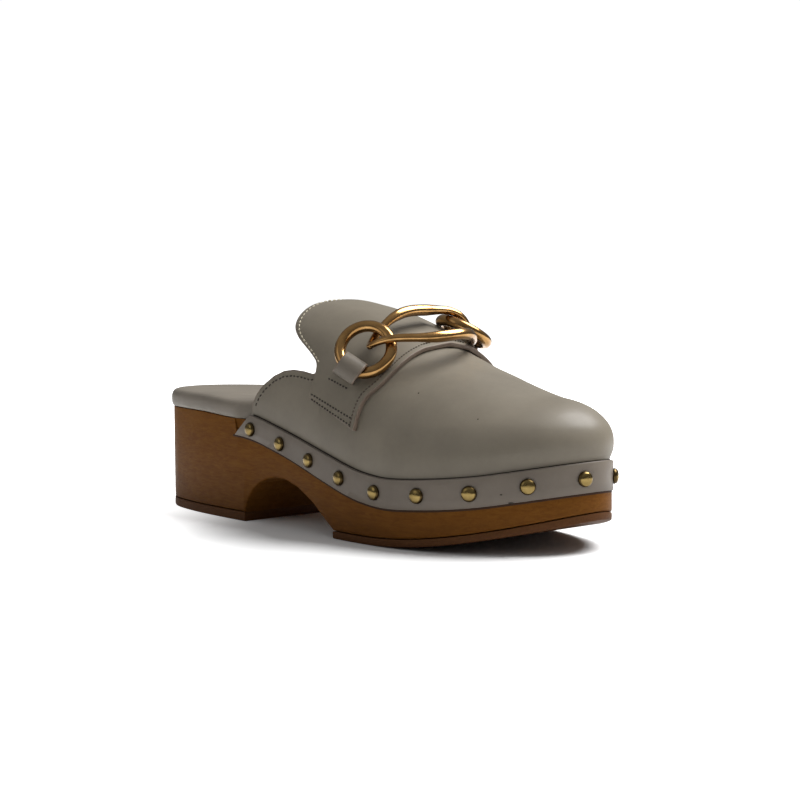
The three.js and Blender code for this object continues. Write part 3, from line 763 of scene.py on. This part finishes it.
def link_piece():
    turn = np.linspace(0, 2 * np.pi, 220, endpoint=False)
    line = link_line(turn)
    ahead = unit(link_line(turn + 0.01) - link_line(turn - 0.01))
    across = unit(np.cross([np.sin(1), 0, np.cos(1)], ahead))
    over = np.cross(ahead, across)
    taper = 1 - TIP_TAPER * np.abs(np.cos(turn)) ** 6
    bold = 1 - smooth(0.25, 0.62, np.abs(np.cos(turn)))
    half = LINK_WIRE / 2 * taper * (1 + BAR_BOLDNESS * bold)
    points, faces = tube(line, across, over, half, half * (1 + 0.06 * bold), 2.6, 28)
    return add_mesh("chain_link", *join([(points, faces)]), ["link"], "ornament_metal", 180)


# Nails
def nail_places():
    end = float(row_at(FIRST_NAIL, 1))
    fine = np.arange(-end, end, 0.005)
    steps = np.hypot(*(plan_point(fine + 0.005) - plan_point(fine)).T)
    walked = np.concatenate([[0], np.cumsum(steps)])[:-1]
    count = int(walked[-1] // NAIL_PITCH)
    return [float(np.interp(k * NAIL_PITCH, walked, fine)) for k in range(count + 1)]


def nail_piece(q, number):
    normal = np.append(plan_normal(q), 0)
    at = inset_point(q, -RAND_PROUD)
    centre = np.array([*at, float(rand_head(plan_point(q)[0])) - NAIL_BELOW])
    side = np.cross([0, 0, 1], normal)
    radial, rings = 36, []
    profile = [(0.1, 1.0), (0.28, 0.985), (0.5, 0.93), (0.68, 0.83), (0.83, 0.68), (0.91, 0.54)]
    profile += [(0.965, 0.4), (1.0, 0.22), (1.0, 0.1), (0.9, 0.0)]
    turn = np.linspace(0, 2 * np.pi, radial, endpoint=False)
    for r, h in profile:
        rings.append(
            centre
            + normal * (h * NAIL_RISE)
            + NAIL_RADIUS * r * (np.cos(turn)[:, None] * side + np.sin(turn)[:, None] * np.array([0, 0, 1]))
        )
    faces = [list(range(radial)), [(len(rings) - 1) * radial + k for k in range(radial)][::-1]]
    faces += grid_faces(len(rings), radial, closed_columns=True)[:, ::-1].tolist()
    # The band round the edge of each head and its side take the second material, a darker brass: painted
    # dark reflection.
    rim = 5 * radial
    points, faces = join([(np.concatenate(rings), faces)])
    name = f"nail_{number:02d}"
    return add_mesh(f"nail_head_{number:02d}", points, faces, [name], "nail_metal", 60, rim)


# Stitches: short threads one each pitch along a line on a surface
def stitch_piece(name, rows, pitch, length, radius, sunk=0.1):
    parts = []
    for line, normals in rows:
        steps = np.linalg.norm(np.diff(line, axis=0), axis=1)
        walked = np.concatenate([[0], np.cumsum(steps)])
        for middle in np.arange(pitch / 2, walked[-1], pitch):
            reach = np.array([middle - length / 2, middle, middle + length / 2])
            a, c, b = (np.array([np.interp(r, walked, line[:, k]) for k in range(3)]) for r in reach)
            up = unit([np.interp(middle, walked, normals[:, k]) for k in range(3)])
            ahead = unit(b - a)
            side = np.cross(up, ahead)
            along_thread = np.linspace(-1, 1, 7)
            angle = np.linspace(0, 2 * np.pi, 8, endpoint=False)
            wide = radius * np.sqrt(np.clip(1 - along_thread**4, 0.02, 1))[:, None, None]
            centre = c + ahead * (along_thread * length / 2)[:, None]
            centre = centre - up * (sunk * along_thread**2)[:, None]
            round_it = np.cos(angle)[:, None] * side + np.sin(angle)[:, None] * up
            points = centre[:, None] + wide * round_it[None]
            faces = grid_faces(7, 8, closed_columns=True).tolist()
            faces += [list(range(8))[::-1], [48 + k for k in range(8)]]
            parts.append((points.reshape(-1, 3), faces))
    points = np.concatenate([p for p, _ in parts])
    faces = [[v + 56 * k for v in face] for k, (_, fs) in enumerate(parts) for face in fs]
    return add_mesh(name, points, faces)


# The line on a sheet of rows that keeps a distance from its first or last column, and its normals.
def inset_line(sheet, distance, last=False):
    if last:
        sheet = sheet[:, ::-1]
    steps = np.linalg.norm(np.diff(sheet, axis=1), axis=2)
    walked = np.concatenate([np.zeros((len(sheet), 1)), np.cumsum(steps, 1)], 1)
    pairs = list(zip(walked, sheet))
    line = np.array([[np.interp(distance, w, row[:, k]) for k in range(3)] for w, row in pairs])
    down = np.gradient(line, axis=0)
    inward = sheet[:, 4] - sheet[:, 0]
    normals = unit(np.cross(down, inward))
    middle = np.array([line[:, 0].mean(), 0, 30])
    flip = np.sign(((line - middle) * normals).sum(1))[:, None]
    return line, normals * flip


def surface_row(xs, zs, side, offset, lift):
    count = 60
    x = np.linspace(*xs, count)
    z = np.linspace(*zs, count)
    q, u = on_last(x, z, side, offset, lift)
    line = grown_point(q, u, offset, lift)
    return line, last_normal(q, u)


def stitch_pieces():
    made = {}
    sheets = {side: saddle_sheet(side, 90, 120) for side in (-1, 1)}
    tongue, front, ends, slots = [], [], [], []
    for side, sheet in sheets.items():
        tongue.append(inset_line(sheet[:62], STITCH_INSET))
        front.append(inset_line(sheet, STITCH_INSET - 0.1, last=True))
        ends.append(surface_row((133.5, 162.6), (57.6, 48.9), side, SADDLE_OUTSIDE, SADDLE_LIFT))
        ends.append(surface_row((134.2, 162.2), (55.6, 46.4), side, SADDLE_OUTSIDE, SADDLE_LIFT))
        slots.append(surface_row((141.3, 154.1), (64.2, 60.6), side, SADDLE_OUTSIDE, SADDLE_LIFT))
    made["tongue_stitches"] = stitch_piece("tongue_stitches", tongue, 2.6, 1.9, 0.3)
    made["front_stitches"] = stitch_piece("front_stitches", front, 1.5, 1.1, 0.32)
    made["strap_stitches"] = stitch_piece("strap_stitches", ends + slots, 2.0, 1.4, 0.36)
    collar = []
    collar_x = COLLAR_START + COLLAR[:, 0] * SOLE_LENGTH
    for side in (-1, 1):
        x = np.linspace(COLLAR_START + 0.2, COLLAR_START + 0.185 * SOLE_LENGTH, 400)
        z = np.interp(x, collar_x, COLLAR[:, 1] * INSTEP_HEIGHT)
        slope = np.gradient(z, x)
        size = np.hypot(1, slope)
        x, z = x + slope / size * COLLAR_STITCH_INSET, z - COLLAR_STITCH_INSET / size
        keep = z > rand_head(x) + 1
        q, u = on_last(x[keep], z[keep], side)
        collar.append((last_point(q, u), last_normal(q, u)))
    made["collar_stitches"] = stitch_piece("collar_stitches", collar, 2.5, 1.7, 0.34)
    return made


# A thin dark line of painted shade along the rand: at its head on the upper, or at its foot on the wood.
def rand_shade_line_piece(name, rear, inset, height, wide, tall):
    end = row_at(rear, 1)
    q = np.linspace(-end, end, 500)
    x = plan_point(q)[:, 0]
    line = np.column_stack([inset_point(q, np.full(len(q), inset)), height(x)])
    angle = np.linspace(0, 2 * np.pi, 8, endpoint=False)
    normal = np.column_stack([plan_normal(q), 0 * q])
    outward = wide * np.cos(angle)[None, :, None] * normal[:, None]
    upward = tall * np.sin(angle)[None, :, None] * np.array([0, 0, 1.0])
    points = line[:, None] + outward + upward
    faces = grid_faces(len(q), 8, closed_columns=True).tolist()
    faces += [list(range(8)), [(len(q) - 1) * 8 + k for k in range(8)][::-1]]
    return add_mesh(name, points.reshape(-1, 3), faces)


# The shade between the rand's head and the upper, painted as a dark line.
def rand_head_shade_line():
    height = lambda x: rand_head(x) + 0.42
    return rand_shade_line_piece("rand_head_shade_line", RAND_REAR + RAND_SLANT + 2, RAND_INSET, height, 0.34, 0.34)


# The shade on the wood under the rand's foot, painted as a dark line.
def rand_foot_shade_line():
    height = lambda x: rand_foot(x) - 0.5
    return rand_shade_line_piece("rand_foot_shade_line", RAND_REAR - 2, 0.02, height, 0.12, 0.6)


# Small dark marks: a place near the surface, then half a length and half a height.
VAMP_MARKS = [((185.4, -26.5, 59.5), 0.32, 0.42), ((215.8, -25.5, 50.5), 0.28, 0.34)]
RAND_MARKS = [((232.6, -25.1, 21.5), 1.1, 0.32), ((230.4, -27.2, 22.4), 0.5, 0.25)]


def mark_pieces(name, host, marks):
    places = np.array([v.co[:] for v in host.data.vertices]) * 1000 - shift
    made = []
    for number, (near, wide, tall) in enumerate(marks):
        index = int(np.argmin(np.linalg.norm(places - near, axis=1)))
        centre, up = places[index], np.array(host.data.vertices[index].normal[:])
        side = unit(np.cross([0, 0, 1], up))
        over = np.cross(up, side)
        around = np.linspace(0, 2 * np.pi, 12, endpoint=False)
        edge = centre + np.cos(around)[:, None] * side * wide + np.sin(around)[:, None] * over * tall
        points = np.concatenate([edge - up * 0.1, edge + up * 0.06])
        faces = grid_faces(2, 12, closed_columns=True).tolist()
        faces += [list(range(12)), [12 + k for k in range(12)][::-1]]
        made.append(add_mesh(f"{name}_{number}", points, faces))
    return made


# Materials
class Shading:
    """A material's nodes, added by short calls."""

    def __init__(self, name):
        self.material = bpy.data.materials.new(name)
        self.material.use_nodes = True
        self.tree = self.material.node_tree
        self.tree.nodes.clear()
        out = self.add("OutputMaterial")
        self.shader = self.add("BsdfPrincipled")
        self.link(self.shader.outputs[0], out.inputs[0])

    def add(self, kind, inputs=None, **settings):
        node = self.tree.nodes.new("ShaderNode" + kind)
        for key, value in settings.items():
            setattr(node, key, value)
        for key, value in (inputs or {}).items():
            if isinstance(value, bpy.types.NodeSocket):
                self.link(value, node.inputs[key])
            else:
                node.inputs[key].default_value = value
        return node

    def link(self, source, target):
        self.tree.links.new(source, target)

    def set(self, **values):
        for key, value in values.items():
            name = key.replace("_", " ").title().replace("Ior", "IOR")
            if isinstance(value, bpy.types.NodeSocket):
                self.link(value, self.shader.inputs[name])
            else:
                self.shader.inputs[name].default_value = value

    def place(self, scale=(1, 1, 1), turn=(0, 0, 0)):
        """Object coordinates in millimetres, stretched by scale."""
        where = self.add("TexCoord").outputs["Object"]
        size = [1000 * v for v in scale]
        return self.add("Mapping", {"Vector": where, "Scale": size, "Rotation": turn}).outputs[0]

    def noise(self, where, scale, detail=4, roughness=0.5, distortion=0.0):
        inputs = {"Vector": where, "Scale": scale, "Detail": detail}
        inputs |= {"Roughness": roughness, "Distortion": distortion}
        return self.add("TexNoise", inputs).outputs["Fac"]

    def cells(self, where, scale, feature="F1", randomness=1.0):
        inputs = {"Vector": where, "Scale": scale, "Randomness": randomness}
        return self.add("TexVoronoi", inputs, feature=feature).outputs["Distance"]

    def ramp(self, value, stops):
        node = self.add("ValToRGB", {"Fac": value})
        band = node.color_ramp
        while len(band.elements) < len(stops):
            band.elements.new(0.5)
        for element, (position, color) in zip(band.elements, stops):
            element.position = position
            element.color = (*color, 1) if isinstance(color, tuple) else (color, color, color, 1)
        return node.outputs[0]

    def blend(self, amount, a, b, kind="MIX"):
        node = self.add("Mix", data_type="RGBA", blend_type=kind)
        for index, value in ((0, amount), (6, a), (7, b)):
            socket = node.inputs[index]
            if isinstance(value, bpy.types.NodeSocket):
                self.link(value, socket)
            else:
                socket.default_value = value if index == 0 else (*value, 1)
        return node.outputs[2]

    def math(self, operation, a, b=0.0):
        node = self.add("Math", operation=operation)
        for socket, value in zip(node.inputs, (a, b)):
            if isinstance(value, bpy.types.NodeSocket):
                self.link(value, socket)
            else:
                socket.default_value = value
        return node.outputs[0]

    def bump(self, height, depth, strength=1.0, over=None):
        inputs = {"Height": height, "Distance": depth / 1000, "Strength": strength}
        if over is not None:
            inputs["Normal"] = over
        return self.add("Bump", inputs).outputs[0]


def leather_material(name, color, light=1.1, dark=0.88):
    m = Shading(name)
    where = m.place()
    cloud = m.noise(where, 0.035, 3)
    mottle = m.noise(where, 0.4, 4, 0.6)
    tone = m.ramp(cloud, [(0.3, tuple(c * dark for c in color)), (0.7, tuple(c * light for c in color))])
    tone = m.blend(0.12, tone, m.ramp(mottle, [(0.35, tuple(c * 0.7 for c in color)), (0.65, color)]))
    pores = m.cells(where, 1.9)
    grain = m.noise(where, 1.3, 5, 0.62)
    normal = m.bump(m.ramp(pores, [(0.0, 0.0), (0.45, 1.0)]), 0.03, 0.35)
    normal = m.bump(grain, 0.06, 0.35, normal)
    gloss = m.ramp(m.noise(where, 0.12, 3), [(0.3, 0.4), (0.7, 0.5)])
    m.set(base_color=tone, roughness=gloss, normal=normal, specular_ior_level=0.22)
    return m.material


def wood_material():
    m = Shading("stained_wood")
    grain_place = m.place((0.045, 1, 1))
    ripple_place = m.place((0.22, 0.45, 1.25))
    drift = m.noise(m.place((0.3, 0.6, 1)), 0.06, 3)
    lines = m.noise(grain_place, 1.6, 6, 0.7, 0.3)
    ripple = m.noise(ripple_place, 0.55, 4, 0.55, 1.2)
    base = m.ramp(drift, [(0.25, (0.098, 0.034, 0.004)), (0.75, (0.145, 0.055, 0.008))])
    base = m.blend(0.35, base, m.ramp(lines, [(0.3, (0.075, 0.025, 0.003)), (0.66, (0.165, 0.066, 0.01))]))
    base = m.blend(0.3, base, m.ramp(ripple, [(0.36, (0.07, 0.023, 0.003)), (0.64, (0.165, 0.067, 0.01))]))
    # The wood darkens towards the bottom: painted shade.
    height = m.add("SeparateXYZ", {"Vector": m.place()}).outputs["Z"]
    low_shade = m.ramp(m.math("DIVIDE", height, 30.0), [(0.1, 0.35), (0.8, 0.0)])
    base = m.blend(low_shade, base, (0.045, 0.016, 0.003))
    normal = m.bump(lines, 0.05, 0.4)
    gloss = m.ramp(lines, [(0.3, 0.6), (0.7, 0.48)])
    m.set(base_color=base, roughness=gloss, normal=normal, specular_ior_level=0.05)
    return m.material


def rubber_material():
    m = Shading("brown_rubber")
    where = m.place()
    speck = m.noise(where, 1.1, 4, 0.7)
    tone = m.ramp(speck, [(0.35, (0.065, 0.025, 0.008)), (0.7, (0.088, 0.036, 0.012))])
    m.set(base_color=tone, roughness=0.6, normal=m.bump(speck, 0.05, 0.5), specular_ior_level=0.08)
    return m.material


def metal_material(name, bright, dull, low, high):
    m = Shading(name)
    where = m.place()
    stain = m.noise(where, 0.2, 3, 0.5)
    scratch = m.noise(m.place((1, 0.15, 1)), 2.5, 3, 0.7)
    m.set(base_color=m.ramp(stain, [(0.25, dull), (0.75, bright)]), metallic=1.0)
    m.set(roughness=m.ramp(stain, [(0.25, high), (0.75, low)]), normal=m.bump(scratch, 0.004, 0.15))
    return m.material


def thread_material(name, color):
    m = Shading(name)
    m.set(base_color=color, roughness=0.75, specular_ior_level=0.2)
    return m.material


leather = leather_material("taupe_leather", (0.155, 0.135, 0.104))
pad_leather = leather_material("pad_leather", (0.17, 0.148, 0.12))
rand_leather = leather_material("rand_leather", (0.137, 0.115, 0.093))
# The keepers' leather is the upper's leather in a darker tone of its own, set to the keeper's brightness
# under the light: painted shade.
keeper_leather = leather_material("keeper_leather", (0.125, 0.107, 0.085))
edge_leather = leather_material("cut_edge", (0.15, 0.113, 0.086))
wood = wood_material()
rubber = rubber_material()
brass = metal_material("polished_brass", (0.27, 0.195, 0.072), (0.15, 0.103, 0.036), 0.16, 0.28)
# Darker brass for the nails' rims: painted dark reflection.
rim_brass_dark_reflection = metal_material("rim_brass_dark_reflection", (0.09, 0.06, 0.023), (0.05, 0.033, 0.013), 0.25, 0.35)
gold = metal_material("antique_gold", (0.42, 0.245, 0.095), (0.26, 0.14, 0.048), 0.14, 0.24)
# The colour of the rand's foot line: painted shade on the wood under the rand.
wood_shade_paint = thread_material("wood_shade_paint", (0.028, 0.011, 0.004, 1))
# This dark colour serves the dark threads and the marks, and also the painted shade of the rand's head line
# and of the keeper slots.
dark_thread_and_shade = thread_material("dark_thread_and_shade", (0.03, 0.025, 0.02, 1))
pale_thread = thread_material("pale_thread", (0.42, 0.38, 0.29, 1))
taupe_thread = thread_material("taupe_thread", (0.06, 0.048, 0.036, 1))

stitches = stitch_pieces()
upper, rand = upper_piece(), rand_piece()
for piece, *materials in [
    (wood_piece(), wood),
    (outsole_piece(), rubber),
    (heel_tip_piece(), rubber),
    (insole_piece(), pad_leather),
    (rand, rand_leather),
    (rand_head_shade_line(), dark_thread_and_shade),
    (rand_foot_shade_line(), wood_shade_paint),
    (upper, leather, edge_leather),
    (saddle_piece(), leather, edge_leather),
    (keeper_piece("lateral"), keeper_leather, edge_leather),
    (keeper_piece("medial"), keeper_leather, edge_leather),
    (ring_piece("lateral"), gold),
    (ring_piece("medial"), gold),
    (link_piece(), gold),
    (stitches["tongue_stitches"], pale_thread),
    (stitches["front_stitches"], taupe_thread),
    # The strap and collar threads are real; their dark colour partly paints the shade in the stitch holes.
    (stitches["strap_stitches"], dark_thread_and_shade),
    (stitches["collar_stitches"], dark_thread_and_shade),
]:
    for material in materials:
        piece.data.materials.append(material)
for mark in mark_pieces("vamp_mark", upper, VAMP_MARKS) + mark_pieces("rand_mark", rand, RAND_MARKS):
    mark.data.materials.append(dark_thread_and_shade)
for number, q in enumerate(nail_places(), 1):
    nail = nail_piece(q, number)
    nail.data.materials.append(brass)
    nail.data.materials.append(rim_brass_dark_reflection)


# Camera, floor and light
def placed(x, y, z, spot):
    matrix = Matrix.Identity(4)
    for column, vector in enumerate((x, y, z, spot)):
        matrix.col[column][:3] = [float(v) for v in vector]
    return matrix


def camera_frame():
    azimuth, elevation, distance, focal = np.radians(48.538), np.radians(5.137), 727.81, 1698.46
    aim_x, aim_y, roll = 368.37, 441.27, np.radians(-0.388)
    centre = 400
    target = np.array([125.0, 0, 35])
    back = np.array([
        np.sin(azimuth) * np.cos(elevation), -np.cos(azimuth) * np.cos(elevation), np.sin(elevation),
    ])
    right = np.array([np.cos(azimuth), np.sin(azimuth), 0])
    up = np.cross(back, right)
    place = target + back * distance
    yaw = np.arctan((aim_x - centre) / focal)
    pitch = np.arctan((centre - aim_y) / focal)
    back2 = back * np.cos(yaw) + right * np.sin(yaw)
    right2 = right * np.cos(yaw) - back * np.sin(yaw)
    up3 = up * np.cos(pitch) - back2 * np.sin(pitch)
    back3 = back2 * np.cos(pitch) + up * np.sin(pitch)
    right4 = right2 * np.cos(roll) + up3 * np.sin(roll)
    up4 = up3 * np.cos(roll) - right2 * np.sin(roll)
    return place, right4, up4, back3, focal / (2 * centre) * 36


place, right, up, back, lens = camera_frame()
camera_data = bpy.data.cameras.new("camera")
camera_data.lens = lens
camera_data.sensor_width = 36
camera_data.clip_start = 0.01
camera = bpy.data.objects.new("camera", camera_data)
camera.matrix_world = placed(right, up, back, metres(place))
bpy.context.scene.collection.objects.link(camera)
bpy.context.scene.camera = camera

floor_mesh = bpy.data.meshes.new("floor")
size = 6
corners = [(-size, -size, 0), (size, -size, 0), (size, size, 0), (-size, size, 0)]
floor_mesh.from_pydata(corners, [], [(0, 1, 2, 3)])
floor = bpy.data.objects.new("floor", floor_mesh)
bpy.context.scene.collection.objects.link(floor)
# The floor glows, not at all near the shoe and fully from about 0.2 m off, so that it turns white away from
# the shoe: painted light, which reaches the shoe at 0.42 of what the camera sees.
pale = Shading("pale_floor")
here = pale.add("TexCoord").outputs["Object"]
away = pale.add("VectorMath", {0: here, 1: (0.07, 0.03, 0)}, operation="DISTANCE").outputs["Value"]
pale.set(base_color=(0.8, 0.8, 0.8, 1), roughness=0.9, specular_ior_level=0.0)
pale.set(emission_color=(1, 1, 1, 1))
reach = {"Value": away, "From Min": 0.115, "From Max": 0.2}
glow = pale.add("MapRange", reach, interpolation_type="SMOOTHSTEP")
seen = pale.add("MapRange", {"Value": pale.add("LightPath").outputs["Is Camera Ray"], "To Min": 0.42})
pale.set(emission_strength=pale.math("MULTIPLY", glow.outputs[0], seen.outputs[0]))
floor.data.materials.append(pale.material)

# The backdrop is white behind the shoe, and lights it as a dimmer room would.
world = bpy.data.worlds.new("studio")
world.use_nodes = True
sky = world.node_tree
back_node = sky.nodes["Background"]
back_node.inputs[0].default_value = (1, 1, 1, 1)
rays = sky.nodes.new("ShaderNodeLightPath")
strength = sky.nodes.new("ShaderNodeMapRange")
upward = sky.nodes.new("ShaderNodeSeparateXYZ")
sky.links.new(sky.nodes.new("ShaderNodeTexCoord").outputs["Generated"], upward.inputs[0])
dome = sky.nodes.new("ShaderNodeMapRange")
dome.inputs["To Min"].default_value = 0.12
dome.inputs["To Max"].default_value = 0.42
sky.links.new(upward.outputs["Z"], dome.inputs["Value"])
sky.links.new(dome.outputs[0], strength.inputs["To Min"])
strength.inputs["To Max"].default_value = 1.02
sky.links.new(rays.outputs["Is Camera Ray"], strength.inputs["Value"])
sky.links.new(strength.outputs[0], back_node.inputs[1])
bpy.context.scene.world = world
bpy.context.scene.view_settings.view_transform = "Standard"


def area_light(name, spot, aim, size, power):
    data = bpy.data.lights.new(name, "AREA")
    data.shape = "DISK"
    data.size = size
    data.energy = power
    lamp = bpy.data.objects.new(name, data)
    bpy.context.scene.collection.objects.link(lamp)
    spot, aim = np.array(spot, float), np.array(aim, float)
    z = (spot - aim) / np.linalg.norm(spot - aim)
    x = np.cross([0, 0, 1], z)
    x /= np.linalg.norm(x)
    y = np.cross(z, x)
    lamp.matrix_world = placed(x, y, z, spot)
    return lamp


area_light("overhead", (0.4, 0.62, 1.1), (0.03, 0, 0), 0.9, 34)
area_light("fill", (-0.25, -1.2, 0.75), (0, 0, 0.03), 0.9, 1.2)
